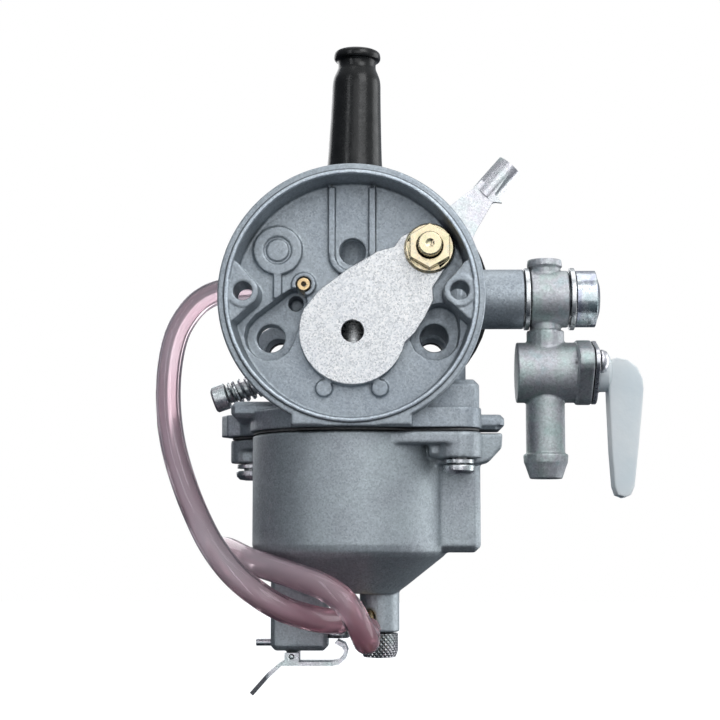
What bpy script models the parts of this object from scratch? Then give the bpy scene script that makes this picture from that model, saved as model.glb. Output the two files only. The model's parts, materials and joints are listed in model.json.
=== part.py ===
"""Slide-valve carburetor for a small engine, as separate pieces on their real axes.

Frame: +Z is up along the throttle slide, +X points to the fuel tap, +Y to the engine. The origin is
the centre of the throttle bore on the face that meets the engine. Sizes below are in millimetres and
become metres in the helpers.
"""

import math

import bmesh
import bpy
from mathutils import Matrix, Vector

MM = 0.001
GAP = 0.25  # kept between pieces that touch on the real object
MERGE = 0.00002  # metres

# Castings
BORE_R = 8.6
BOLT_X = 17.1  # the two through bolts stand level with the bore
BOLT_HOLE_R = 2.95
RIM_Y = -49.0
FLOOR_Y = -41.0
BACK_Y = -38.0
CUP_Z = 7.35
CUP_R = 27.2
CUP_INNER_R = 25.0
BODY_REAR_Y = -3.3
JOINT_Z = -19.2  # underside of the body, where the bowl gasket lies
BOWL_TOP_Z = -19.9
BOWL_AT = (-0.6, -25.0)
BOWL_R = 21.0
SCREW_FRONT = (22.0, -39.5)
SCREW_REAR = (-23.2, -10.5)
EAR_BOTTOM_Z = -25.3

# Half of the web that blends a filter stud's boss into the cup's wall, in X and Z
FILTER_WEB = [(20.3, 10.9), (23.1, 14.2), (26.0, 15.6), (26.2, 0.8), (23.6, 2.4), (20.3, 5.5)]

# Throttle
SLIDE_Y = -22.0
SLIDE_R = 9.2
SLIDE_LOW_Z = -8.0
SLIDE_TOP_Z = 16.0
CHAMBER_R = 12.2
CHAMBER_TOP_Z = 32.0
CAP_TOP_Z = 36.4

# Choke
PIVOT = (16.0, 17.7)
PLATE_CENTRE = (0.15, 0.6)
PLATE_R = 11.0
PLATE_Y = (-43.4, -42.4)
LEVER_Y = (-37.7, -36.7)

# Fuel inlet and tap
INLET_Z = 10.2
TAP_X = 41.6
BARREL_Z = -5.9

TAP_SCREWS = (("front", -7.0, 1.7), ("rear", 7.0, -1.7))  # Y and Z from the barrel's axis

# Throttle stop screw
STOP_AT = (-28.8, SLIDE_Y, -11.2)
STOP_TILT = math.radians(19.2)

# Under the bowl
BOSS_AT = (5.5, -25.0)
BOSS_BOTTOM_Z = -61.3
BOWL_LOW_Z = -53.1
BOWL_FLOOR_Z = -51.0
LEVER_PIVOT = (-13.1, -22.5, -66.5)
BUTTON_AT = (-3.6, -22.5)
BUTTON_Z = -61.2
STOP_PIN_Z = -63.7
FLOAT_PIVOT = (20.6, -25.0, -22.6)
SPRING_TOP_Z = 32.4
BOOT_Z = 38.9

# Hoses: each nipple from its root to its end, and each hose's route from nipple to nipple
HOSE_R = 2.7
NIPPLES = {
    "vent_nipple": ((-12.0, SLIDE_Y, 12.9), (-19.6, SLIDE_Y, 12.9)),
    "overflow_nipple": ((2.6, -26.9, -60.1), (-2.6, -31.3, -58.8)),
    "outlet_nipple": ((3.4, -27.7, -57.2), (3.15, -31.6, -60.15)),
    "return_nipple": ((-3.0, -5.2, -48.6), (-9.0, -5.2, -48.6)),
}
HOSES = {
    "vent_hose": (
        [
            (-19.95, -22.0, 12.9), (-24.7, -22.0, 12.8), (-30.1, -22.2, 11.8), (-33.9, -22.5, 9.7),
            (-36.5, -23.0, 6.6), (-38.4, -23.7, 2.8), (-39.5, -24.5, -2.0), (-40.0, -25.4, -8.0),
            (-39.7, -26.6, -14.6), (-38.5, -28.0, -21.6), (-36.3, -29.9, -28.6), (-33.2, -32.7, -35.8),
            (-29.2, -36.8, -42.8), (-24.3, -41.0, -48.6), (-18.9, -43.1, -52.9), (-14.2, -42.5, -55.7),
            (-10.0, -40.3, -57.3), (-6.2, -36.5, -58.4), (-2.9, -31.55, -58.8),
        ],
        44,
    ),
    "drain_hose": (
        [
            (-9.35, -5.2, -48.6), (-13.5, -5.2, -48.4), (-18.2, -6.0, -47.7), (-22.8, -8.2, -46.5),
            (-26.4, -11.6, -45.2), (-28.3, -16.2, -44.3), (-28.3, -20.8, -44.0), (-26.8, -25.2, -44.2),
            (-25.0, -29.3, -44.8), (-23.0, -33.3, -45.6), (-20.3, -37.2, -46.6), (-15.8, -41.0, -47.9),
            (-10.2, -44.6, -49.6), (-6.2, -46.8, -51.0), (-2.7, -48.3, -53.0), (-0.2, -48.6, -55.6),
            (1.4, -46.9, -58.6), (2.5, -43.6, -61.1), (2.9, -39.8, -62.4), (3.0, -36.0, -62.2),
            (3.1, -31.95, -60.4),
        ],
        44,
    ),
}

STEEL = ("zinc_plated_steel", (0.62, 0.63, 0.62), 0.32, 1.0)
CAST = ("cast_zinc_alloy", (0.46, 0.48, 0.49), 0.55, 0.9)
BRASS = ("brass", (0.72, 0.55, 0.25), 0.3, 1.0)
YELLOW = ("yellow_zinc", (0.70, 0.62, 0.40), 0.35, 1.0)
BLACK_RUBBER = ("black_rubber", (0.012, 0.012, 0.013), 0.5, 0.0)
PHENOLIC = ("black_phenolic", (0.01, 0.01, 0.01), 0.6, 0.0)
NYLON = ("white_nylon", (0.82, 0.86, 0.86), 0.45, 0.0)
HOSE = ("pink_clear_hose", (0.75, 0.45, 0.5), 0.2, 0.0)
FIBRE = ("gasket_fibre", (0.06, 0.055, 0.05), 0.8, 0.0)
ALLOY = ("machined_alloy", (0.66, 0.66, 0.65), 0.35, 1.0)
FLOAT_FOAM = ("float_plastic", (0.05, 0.05, 0.055), 0.6, 0.0)
SEAL = ("seal_rubber", (0.03, 0.03, 0.03), 0.6, 0.0)

DENSE = ("carb_body", "float_bowl")  # castings of many crossing shapes, where EXACT leaves open edges

PARTS = bpy.data.collections.new("carburetor")
CUTTERS = bpy.data.collections.new("cutters")


# ---------------------------------------------------------------- helpers


def finish_of(look):
    """The Principled material of a finish, made once."""
    name, colour, roughness, metallic = look
    made = bpy.data.materials.get(name)
    if made is None:
        made = bpy.data.materials.new(name)
        made.use_nodes = True
        shader = made.node_tree.nodes["Principled BSDF"]
        shader.inputs["Base Color"].default_value = (*colour, 1.0)
        shader.inputs["Roughness"].default_value = roughness
        shader.inputs["Metallic"].default_value = metallic
    return made


def place(data, name, at, direction, look):
    """A new object at a point, its local Z along a direction: a part when it has a finish, else a tool."""
    thing = bpy.data.objects.new(name, data)
    thing.location = Vector(at) * MM
    thing.rotation_euler = Vector((0, 0, 1)).rotation_difference(Vector(direction)).to_euler()
    if look:
        data.materials.append(finish_of(look))
        PARTS.objects.link(thing)
    else:
        CUTTERS.objects.link(thing)
        thing.hide_render = True
        thing.display_type = "WIRE"
    return thing


def smooth(thing, angle=35.0):
    mesh = thing.data
    mesh.shade_smooth()
    mesh.set_sharp_from_angle(angle=math.radians(angle))
    return thing


def block(name, low, high, look=None, bevel=0.0, origin=None):
    """A box between two corners, with its origin at a point or in its middle."""
    low, high = Vector(low), Vector(high)
    middle = (low + high) / 2 if origin is None else Vector(origin)
    mesh = bpy.data.meshes.new(name)
    made = bmesh.new()
    bmesh.ops.create_cube(made, size=1.0)
    bmesh.ops.scale(made, vec=(high - low) * MM, verts=made.verts)
    bmesh.ops.translate(made, vec=((low + high) / 2 - middle) * MM, verts=made.verts)
    if bevel:
        bmesh.ops.bevel(
            made, geom=list(made.edges), offset=bevel * MM, offset_type="OFFSET",
            segments=1, profile=0.5, affect="EDGES",
        )
    made.to_mesh(mesh)
    made.free()
    return place(mesh, name, middle, (0, 0, 1), look)


def rod(name, start, end, radius, look=None, sides=20, end_radius=None):
    """A cylinder or cone from one point to another, its origin at the start."""
    start, end = Vector(start), Vector(end)
    length = (end - start).length
    mesh = bpy.data.meshes.new(name)
    made = bmesh.new()
    bmesh.ops.create_cone(
        made, cap_ends=True, segments=sides, radius1=radius * MM,
        radius2=(radius if end_radius is None else end_radius) * MM, depth=length * MM,
    )
    bmesh.ops.translate(made, vec=(0, 0, length / 2 * MM), verts=made.verts)
    made.to_mesh(mesh)
    made.free()
    return place(mesh, name, start, end - start, look)


def turned(name, profile, at, direction, look=None, steps=32, ring=False):
    """A profile of (radius, height) turned about its direction, listed down its outer side."""
    mesh = bpy.data.meshes.new(name)
    count = len(profile)
    edges = [(i, i + 1) for i in range(count - 1)]
    if ring:
        edges.append((count - 1, 0))
    mesh.from_pydata([(r * MM, 0, h * MM) for r, h in profile], edges, [])
    thing = place(mesh, name, at, direction, look)
    screw = thing.modifiers.new("turn", "SCREW")
    screw.steps = screw.render_steps = steps
    screw.use_merge_vertices = True
    screw.merge_threshold = MERGE
    screw.use_smooth_shade = True
    return thing


def prism(name, outline, low, high, at=(0, 0, 0), direction=(0, 0, 1), look=None):
    """A flat outline drawn about a point across a direction, filled and raised from low to high."""
    curve = bpy.data.curves.new(name, "CURVE")
    curve.dimensions = "2D"
    curve.fill_mode = "BOTH"
    curve.extrude = (high - low) / 2 * MM
    spline = curve.splines.new("POLY")
    spline.points.add(len(outline) - 1)
    for point, (x, y) in zip(spline.points, outline):
        point.co = (x * MM, y * MM, 0, 1)
    spline.use_cyclic_u = True
    guide = bpy.data.objects.new(name + "_outline", curve)
    CUTTERS.objects.link(guide)
    mesh = bpy.data.meshes.new_from_object(guide.evaluated_get(bpy.context.evaluated_depsgraph_get()))
    bpy.data.objects.remove(guide)
    made = bmesh.new()
    made.from_mesh(mesh)
    bmesh.ops.remove_doubles(made, verts=made.verts, dist=MERGE / 4)
    bmesh.ops.translate(made, vec=(0, 0, (low + high) / 2 * MM), verts=made.verts)
    bmesh.ops.recalc_face_normals(made, faces=made.faces)
    made.to_mesh(mesh)
    made.free()
    mesh.name = name
    return place(mesh, name, at, direction, look)


def wire(name, points, radius, look, closed=False, origin=(0, 0, 0), resolution=2):
    """A round tube along straight stretches between points, with filled ends."""
    curve = bpy.data.curves.new(name, "CURVE")
    curve.dimensions = "3D"
    curve.bevel_depth = radius * MM
    curve.bevel_resolution = resolution
    curve.use_fill_caps = not closed
    spline = curve.splines.new("POLY")
    spline.points.add(len(points) - 1)
    for point, place_at in zip(spline.points, points):
        point.co = (*((Vector(place_at) - Vector(origin)) * MM), 1)
    spline.use_cyclic_u = closed
    return place(curve, name, origin, (0, 0, 1), look)


def coil(name, radius, wire_radius, turns, start, direction, length, look, per_turn=12):
    """A compression spring with closed, flat end turns, its origin at its start."""
    axis = Vector(direction).normalized()
    side = axis.orthogonal().normalized()
    other = axis.cross(side)
    total = int(turns * per_turn)
    points = []
    for i in range(total + 1):
        turn = i / per_turn
        share = min(max((turn - 0.9) / (turns - 1.8), 0.0), 1.0)
        rise = 2.1 * wire_radius * min(turn, 0.9) / 0.9 + share * (length - 6.2 * wire_radius)
        rise += 2.1 * wire_radius * max(turn - turns + 0.9, 0.0) / 0.9 + wire_radius
        angle = 2 * math.pi * turn
        points.append(
            Vector(start) + axis * rise + radius * (side * math.cos(angle) + other * math.sin(angle))
        )
    return wire(name, points, wire_radius, look, origin=start, resolution=1)


def join(target, *tools):
    return combine(target, tools, "UNION")


def cut(target, *tools):
    return combine(target, tools, "DIFFERENCE")


def combine(target, tools, operation):
    for tool in tools:
        step = target.modifiers.new(operation.lower() + "_" + tool.name, "BOOLEAN")
        step.operation = operation
        step.solver = "MANIFOLD" if target.name in DENSE else "EXACT"
        step.object = tool
    return target


def arc(centre, radius, start, end, steps):
    """Points round a centre from one angle to another, in degrees."""
    return [
        (
            centre[0] + radius * math.cos(math.radians(start + (end - start) * i / steps)),
            centre[1] + radius * math.sin(math.radians(start + (end - start) * i / steps)),
        )
        for i in range(steps + 1)
    ]


def slot_outline(first, first_r, second, second_r, steps=8):
    """Two circles and their outer tangents."""
    dx, dy = second[0] - first[0], second[1] - first[1]
    heading = math.degrees(math.atan2(dy, dx))
    spread = math.degrees(math.acos((first_r - second_r) / math.hypot(dx, dy)))
    return arc(second, second_r, heading - spread, heading + spread, steps) + arc(
        first, first_r, heading + spread, heading + 360 - spread, steps
    )


def smooth_route(points, count):
    """Evenly counted points on a smooth curve through a route's own points."""
    ends = [Vector(points[0]) * 2 - Vector(points[1]), Vector(points[-1]) * 2 - Vector(points[-2])]
    knots = [ends[0], *map(Vector, points), ends[1]]
    spans = len(points) - 1
    made = []
    for i in range(count + 1):
        place_at = i / count * spans
        span = min(int(place_at), spans - 1)
        t = place_at - span
        a, b, c, d = knots[span : span + 4]
        made.append(
            0.5 * (2 * b + (c - a) * t + (2 * a - 5 * b + 4 * c - d) * t**2 + (3 * b - a - 3 * c + d) * t**3)
        )
    return made


def plate_y(name, outline, front, rear, look=None, at=(0.0, 0.0)):
    """An outline in X and Z, raised from its front to its rear along +Y, with its origin at an X and Z."""
    middle = (front + rear) / 2
    shifted = [(x - at[0], z - at[1]) for x, z in outline]
    half = (rear - front) / 2
    return prism(name, shifted, -half, half, (at[0], middle, at[1]), (0, -1, 0), look)


def plate_x(name, outline, low, high, look=None, at=(0.0, 0.0)):
    """An outline in Y and Z, raised along +X, with its origin at a Y and Z."""
    middle = (low + high) / 2
    shifted = [(at[1] - z, y - at[0]) for y, z in outline]
    half = (high - low) / 2
    return prism(name, shifted, -half, half, (middle, at[0], at[1]), (1, 0, 0), look)


# ---------------------------------------------------------------- body casting


def cup_drum():
    """The air-filter cup before it is hollowed: a machined lip on a wider flange, and a drafted wall."""
    step_y = RIM_Y + 0.4
    profile = [
        (0, RIM_Y), (CUP_INNER_R + 0.7, RIM_Y), (CUP_INNER_R + 0.9, step_y), (CUP_R - 0.2, step_y),
        (CUP_R, step_y + 0.3), (CUP_R - 0.1, -46.0), (CUP_R - 0.9, BACK_Y - 0.8), (CUP_R - 1.7, BACK_Y),
        (0, BACK_Y),
    ]
    return turned("carb_body", [(r, -y) for r, y in profile], (0, 0, CUP_Z), (0, -1, 0), CAST, steps=48)


def cup_details(body):
    """Ribs, bosses and seats that stand on the cup's floor, and the pockets and holes in it."""
    for side in (-1, 1):
        rib, dimple = 4.2 * side, 5.75 * side
        join(body, block(f"rib{side}", (rib - 0.65, FLOOR_Y - 1.0, 16.9), (rib + 0.65, -39, 31.0)))
        join(body, rod(f"filter_boss{side}", (22.0 * side, -48.7, 8.2), (22.0 * side, -39, 8.2), 3.25))
        join(body, plate_y(f"filter_web{side}", [(x * side, z) for x, z in FILTER_WEB], -48.5, -39))
        join(body, rod(f"dimple{side}", (dimple, FLOOR_Y - 0.9, -11.0), (dimple, -39, -11.0), 1.75, sides=16))
        bolt = BOLT_X * side
        join(body, rod(f"bolt_pocket{side}", (bolt, -39, 0), (bolt, -30.6, 0), 7.2, end_radius=6.4))
    foot = arc((0, 16.9), 4.85, 180, 360, 10) + arc((0, 16.9), 3.55, 360, 180, 10)
    join(
        body,
        plate_y("rib_foot", foot, FLOOR_Y - 0.98, -39),
        plate_y("pocket_back_left", slot_outline((-BOLT_X, 0), 6.6, (-11.9, 7.2), 4.0), -39, -30.8),
        plate_y("pocket_back_right", slot_outline((BOLT_X, 0), 6.6, (18.6, 3.6), 5.6), -39, -30.8),
        rod("seat_ring", (0, FLOOR_Y - 1.0, 0), (0, -39, 0), 10.6, sides=32),
        rod("air_boss", (-15.4, FLOOR_Y - 1.1, 17.7), (-15.4, -39, 17.7), 5.1, sides=20),
        block("air_stem", (-16.2, FLOOR_Y - 1.0, 7.6), (-14.6, -39, 14.0)),
        rod("jet_boss", (-10.0, FLOOR_Y - 0.8, 10.6), (-10.0, -39, 10.6), 2.5, sides=16),
        rod("pivot_boss", (PIVOT[0], FLOOR_Y - 0.9, PIVOT[1]), (PIVOT[0], -39, PIVOT[1]), 5.0, sides=20),
    )
    cut(
        body,
        plate_y("pocket_left", slot_outline((-BOLT_X, 0), 5.2, (-11.9, 7.2), 2.6), -50, -36.0),
        plate_y("pocket_right", slot_outline((BOLT_X, 0), 5.2, (18.2, 2.6), 4.0), -44, -36.0),
        rod("vent_window", (0.1, -45, 17.5), (0.1, -36, 17.5), 2.75),
        turned(
            "air_groove", [(2.9, 0.5), (2.9, -0.5), (2.35, -0.5), (2.35, 0.5)], (-15.4, FLOOR_Y - 1.1, 17.7),
            (0, -1, 0), steps=24, ring=True,
        ),
        rod("passage", (-11.9, -36, 7.4), (-11.9, -31.0, 7.4), 1.55, sides=16),
        rod("jet_hole", (-10.0, -43, 10.6), (-10.0, -33.5, 10.6), 1.62, sides=16),
        rod("stud_hole", (PIVOT[0], -45, PIVOT[1]), (PIVOT[0], -34, PIVOT[1]), 2.75),
        rod("throttle_bore", (0, -45, 0), (0, 5, 0), BORE_R, sides=32),
        rod("bell_mouth", (0, -42.3, 0), (0, -39.5, 0), 9.9, sides=32, end_radius=BORE_R - 0.05),
    )
    for side in (-1, 1):
        cut(
            body,
            rod(f"bolt_hole{side}", (BOLT_X * side, -40, 0), (BOLT_X * side, 5, 0), BOLT_HOLE_R),
            rod(f"bolt_way{side}", (BOLT_X * side, -30.4, 0), (BOLT_X * side, -11.2, 0), 3.25),
            rod(f"filter_hole{side}", (22.0 * side, -52, 8.2), (22.0 * side, -36, 8.2), 1.9, sides=16),
        )
    return body


def lower_flange(name, low, high, look=None):
    """The outline that the body and the bowl share: a round with two screw ears and a squared front."""
    cx, cy = BOWL_AT
    fx, fy = SCREW_FRONT
    rx, ry = SCREW_REAR
    outline = (
        [(12.2, fy - 4.6)]
        + arc((fx, fy), 4.6, -90, 0, 5)
        + [(fx + 4.6, -30.0)]
        + arc((cx, cy), BOWL_R + 0.6, -5, 112, 12)
        + arc((rx, ry), 4.7, 85, 235, 8)
        + arc((cx, cy), BOWL_R + 0.6, 172, 238, 8)
        + [(-12.2, -45.2), (-12.2, -47.6), (12.2, -47.6)]
    )
    return prism(name, outline, low, high, look=look)


def carb_body():
    body = cup_drum()
    join(
        body,
        lower_flange("cover_flange", JOINT_Z, -15.0),
        rod("throat", (0, -39, 0), (0, -5, 0), 12.0, sides=32),
        rod("mixing_chamber", (0, SLIDE_Y, -16), (0, SLIDE_Y, CHAMBER_TOP_Z), CHAMBER_R, sides=32),
        plate_y("lug_left", slot_outline((-BOLT_X, 0), 5.9, (0, 0), 12.6, 10), -11.0, BODY_REAR_Y),
        plate_y("lug_right", slot_outline((BOLT_X, 0), 5.9, (0, 0), 12.6, 10), -11.0, BODY_REAR_Y),
        block("front_pad", (-12.2, -48.6, JOINT_Z), (12.2, -38.5, -6.0), bevel=0.4),
        block("right_block", (6.0, -37.5, -16.5), (26.4, -15.0, -8.7), bevel=1.2),
        block("fuel_column", (10.0, -29.0, -12.0), (24.0, -15.5, 14.0), bevel=1.6),
        rod("inlet_boss", (10, SLIDE_Y, INLET_Z), (36.8, SLIDE_Y, INLET_Z), 6.5, sides=32),
        block("left_block", (-25.8, -33.0, -16.5), (-6.0, -12.0, -12.9), bevel=1.0),
        block("side_lobe", (19.0, -36.4, JOINT_Z), (31.6, -26.0, -16.0), bevel=0.9),
        rod("rear_ear", (-24.4, -10.5, JOINT_Z), (-24.4, -10.5, -14.4), 5.5, sides=8),
        rod("jet_column", (0, SLIDE_Y, -16), (0, SLIDE_Y, -36.0), 4.6, sides=20, end_radius=4.0),
        rod("pilot_column", (-8.5, -30.0, -16), (-8.5, -30.0, -30.0), 2.9, sides=16),
        block("float_ear_front", (18.6, -31.5, -25.2), (22.6, -29.6, -18.5)),
        block("float_ear_rear", (18.6, -20.4, -25.2), (22.6, -18.5, -18.5)),
        rod("seat_boss", (13.2, -25.0, -22.0), (13.2, -25.0, -16), 3.6, sides=16),
        block("vent_boss", (-17.0, -25.5, 9.4), (-10.0, -18.5, 16.4), bevel=1.0),
    )
    direction = Vector((math.cos(STOP_TILT), 0, math.sin(STOP_TILT)))
    nose = Vector(STOP_AT) + direction * 10.5
    join(body, rod("stop_boss", nose, Vector(STOP_AT) + direction * 20.0, 4.3, sides=20))
    mouth = (0, RIM_Y - 2.0, CUP_Z)
    low_r, high_r = CUP_INNER_R - 0.5, CUP_INNER_R + 0.2
    hollow = rod("cup_hollow", (0, FLOOR_Y, CUP_Z), mouth, low_r, sides=48, end_radius=high_r)
    cut(body, hollow, block("rim_trim", (-13, -52, JOINT_Z - 2.0), (13, -43.0, JOINT_Z)))
    cup_details(body)
    float_x, _, float_z = FLOAT_PIVOT
    cut(
        body,
        rod("stop_spring_pocket", Vector(STOP_AT) - direction * 3.0, nose - direction * 0.1, 3.3, sides=16),
        rod("slide_bore", (0, SLIDE_Y, -9.3), (0, SLIDE_Y, 40), SLIDE_R + 0.25, sides=32),
        rod("inlet_drill", (30, SLIDE_Y, INLET_Z), (38, SLIDE_Y, INLET_Z), 3.9, sides=16),
        rod("inlet_way", (22.2, SLIDE_Y, INLET_Z), (31, SLIDE_Y, INLET_Z), 2.2, sides=12),
        rod("stop_thread", nose - direction, Vector(STOP_AT) + direction * 24.0, 2.2, sides=16),
        rod("emulsion_bore", (0, SLIDE_Y, -38), (0, SLIDE_Y, -5), 2.75, sides=16),
        rod("pilot_bore", (-8.5, -30.0, -32), (-8.5, -30.0, -19), 1.75, sides=16),
        rod("seat_bore", (13.2, -25.0, -24), (13.2, -25.0, -15.0), 2.3, sides=16),
rod("fuel_drop", (22.2, SLIDE_Y, INLET_Z + 0.7), (22.2, SLIDE_Y, -12.6), 1.2, sides=10),
        rod("fuel_cross", (22.9, SLIDE_Y, -11.6), (13.2, -25.0, -16.4), 1.1, sides=10),
        rod("float_pin_bore", (float_x, -33, float_z), (float_x, -17, float_z), 1.15, sides=16),
        rod("vent_bore", (-19, SLIDE_Y, 12.9), (-11.0, SLIDE_Y, 12.9), 1.9, sides=16),
        block("pry_notch", (29.9, -40.0, JOINT_Z - 1.0), (31.2, -35.0, JOINT_Z + 0.9)),
    )
    for x, y in (SCREW_FRONT, SCREW_REAR):
        cut(body, rod(f"bowl_thread{x:.0f}", (x, y, -22), (x, y, -15.6), 1.85, sides=16))
    return body


# ---------------------------------------------------------------- bowl and what is in it


def float_bowl():
    cx, cy = BOWL_AT
    raw = BOWL_TOP_Z + 1.0  # the top face is planed off last
    profile = [
        (0, raw), (BOWL_R, raw), (BOWL_R, -43.2), (BOWL_R - 0.3, -44.4), (BOWL_R - 1.2, -45.4),
        (11.0, -52.3), (9.8, BOWL_LOW_Z), (0, BOWL_LOW_Z),
    ]
    bowl = turned("float_bowl", profile, (cx, cy, 0), (0, 0, 1), CAST, steps=48)
    fx, fy = SCREW_FRONT
    rx, ry = SCREW_REAR
    front_flange = (
        [(6.8, -44.1)] + arc((fx, fy), 4.6, -90, 0, 5) + [(fx + 4.6, -28.0), (10.0, -20.0), (0.0, -30.0)]
    )
    rear_flange = arc((rx, ry), 4.6, 90, 230, 8) + [(-14.0, -26.0), (-8.0, -12.0)]
    lobe = [(16.0, raw), (31.3, raw), (31.0, -23.0), (28.4, -25.8), (26.0, -26.4), (16.0, -26.4)]
    join(
        bowl,
        prism("bowl_flange_front", front_flange, -22.5, raw + 0.3),
        prism("bowl_flange_rear", rear_flange, -22.2, raw + 0.6),
        rod("ear_front", (fx, fy, EAR_BOTTOM_Z), (fx, fy, BOWL_TOP_Z - 0.6), 4.7, sides=20),
        rod("ear_rear", (rx, ry, EAR_BOTTOM_Z + 0.3), (rx, ry, BOWL_TOP_Z - 0.6), 4.6, sides=20),
        block("ear_web", (15.8, -41.6, -25.0), (20.0, -36.0, -20.5), bevel=0.5),
        plate_y("side_bulge_top", lobe, -36.1, -27.5),
        block("side_box", (8.0, -34.0, -44.6), (26.7, -16.0, -21.5), bevel=1.3),
        rod("drain_boss", (*BOSS_AT, -50), (*BOSS_AT, BOSS_BOTTOM_Z), 4.2, sides=20),
        block("pedestal", (-17.6, -26.6, -65.3), (-5.4, -18.0, -44.5), bevel=1.0),
        block("pivot_lug", (-14.1, -25.0, LEVER_PIVOT[2] - 0.85), (-12.1, -20.0, -64.5)),
        block("return_boss", (-5.6, -16.0, -51.4), (0.6, -2.3, -45.8), bevel=0.9),
    )
    inner = BOWL_R - 2.1
    lug_x, _, lug_z = LEVER_PIVOT
    cut(
        bowl,
        block("joint_plane", (-40, -60, BOWL_TOP_Z), (45, 5, -12.0)),
        turned(
            "bowl_cavity",
            [(0, -15), (inner, -15), (inner, -42.6), (9.6, -50.4), (8.6, BOWL_FLOOR_Z), (0, BOWL_FLOOR_Z)],
            (cx, cy, 0), (0, 0, 1), steps=36,
        ),
        block("side_cavity", (10.0, -31.8, -42.3), (24.6, -18.2, -15.0)),
        rod("drain_bore", (*BOSS_AT, -64), (*BOSS_AT, -45), 2.2, sides=16),
        rod("plunger_bore", (*BUTTON_AT, -56), (*BUTTON_AT, -46), 1.25, sides=16),
        rod("button_notch", (*BUTTON_AT, -64.2), (*BUTTON_AT, -58.8), 3.6, sides=20),
        rod("ear_hole_front", (fx, fy, -28), (fx, fy, -17), 2.15, sides=16),
        rod("ear_hole_rear", (rx, ry, -28), (rx, ry, -17), 2.15, sides=16),
        rod("lug_hole", (lug_x, -27, lug_z), (lug_x, -18, lug_z), 0.6, sides=12),
        rod("spring_pocket", (*BUTTON_AT, -60.0), (*BUTTON_AT, BOWL_LOW_Z - 0.2), 2.4, sides=16),
        rod("stop_pin_hole", (-19, -22.3, STOP_PIN_Z), (-14.3, -22.3, STOP_PIN_Z), 0.95, sides=12),
    )
    for name in ("overflow_nipple", "outlet_nipple", "return_nipple"):
        root, end = NIPPLES[name]
        cut(bowl, rod(f"{name}_hole", root, along(root, end, 3.2), 1.2, sides=12))
    return bowl


def bowl_gasket():
    cx, cy = BOWL_AT
    fx, fy = SCREW_FRONT
    rx, ry = SCREW_REAR
    low, high = BOWL_TOP_Z + 0.15, JOINT_Z - 0.15
    gasket = rod("bowl_gasket", (cx, cy, low), (cx, cy, high), BOWL_R - 0.2, FIBRE, sides=48)
    join(
        gasket,
        prism("gasket_front", slot_outline((cx, cy), 12.0, (fx, fy), 4.2), low, high),
        prism("gasket_rear", slot_outline((cx, cy), 12.0, (rx, ry), 4.2), low, high),
        block("gasket_side", (12.0, -33.5, low), (26.2, -16.5, high)),
    )
    return cut(
        gasket,
        rod("gasket_hole", (cx, cy, low - 1), (cx, cy, high + 1), BOWL_R - 2.3, sides=40),
        block("gasket_side_hole", (10.0, -31.7, low - 1), (24.4, -18.3, high + 1)),
        rod("gasket_screw_front", (fx, fy, low - 1), (fx, fy, high + 1), 2.2, sides=16),
        rod("gasket_screw_rear", (rx, ry, low - 1), (rx, ry, high + 1), 2.2, sides=16),
    )


def bowl_screw(name, at):
    """A cross-recessed pan head with its shank, and the spring washer above the head."""
    x, y = at
    under = EAR_BOTTOM_Z - 1.4
    shank, head = 1.65, 3.35
    profile = [
        (0, -16.2), (shank - 0.4, -16.2), (shank, -16.7), (shank, under), (head - 0.15, under),
        (head, under - 0.3), (head - 0.1, under - 1.2), (head - 0.8, under - 1.9), (1.2, under - 2.1),
        (1.2, under - 1.0), (0, under - 1.0),
    ]
    turned(f"bowl_screw_{name}", profile, (x, y, 0), (0, 0, 1), STEEL, steps=20)
    top = EAR_BOTTOM_Z - GAP + (0.3 if name == "rear" else 0.0)
    ring = [(2.1, top), (3.1, top), (3.1, top - 0.9), (2.1, top - 0.9)]
    turned(f"spring_washer_{name}", ring, (x, y, 0), (0, 0, 1), STEEL, steps=20, ring=True)


def float_pieces():
    px, py, pz = FLOAT_PIVOT
    ring = [(8.3, 8.5), (16.0, 8.5), (16.0, 0.0), (8.3, 0.0)]
    low = -42.0
    body = block("float", (11.0, py - 3, -29.2), (19.8, py + 3, -28.3), FLOAT_FOAM, origin=FLOAT_PIVOT)
    join(
        body,
        turned("float_ring", ring, (*BOWL_AT, low), (0, 0, 1), steps=36, ring=True),
        block("float_leg", (10.8, py - 3, -34.0), (13.6, py + 3, -28.6)),
        block("float_post", (19.2, py - 3, -29.1), (21.9, py + 3, pz)),
        rod("float_barrel", (px, py - 4.2, pz), (px, py + 4.2, pz), 1.95, sides=16),
    )
    cut(body, rod("float_barrel_hole", (px, py - 7, pz), (px, py + 7, pz), 1.1, sides=12))
    rod("float_pin", (px, py - 6.6, pz), (px, py + 6.6, pz), 0.85, STEEL, sides=12)
    seat_x = 13.2
    seat = [(1.25, -16.6), (2.05, -16.6), (2.05, -22.6), (1.25, -22.6)]
    turned("needle_seat", seat, (seat_x, py, 0), (0, 0, 1), BRASS, steps=16, ring=True)
    needle = [(0, -17.8), (1.0, -19.4), (1.0, -27.0), (0.5, -28.0), (0, -28.0)]
    at = (seat_x, py, -28.0)
    turned("float_needle", [(r, z + 28.0) for r, z in needle], at, (0, 0, 1), STEEL, steps=14)


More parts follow.
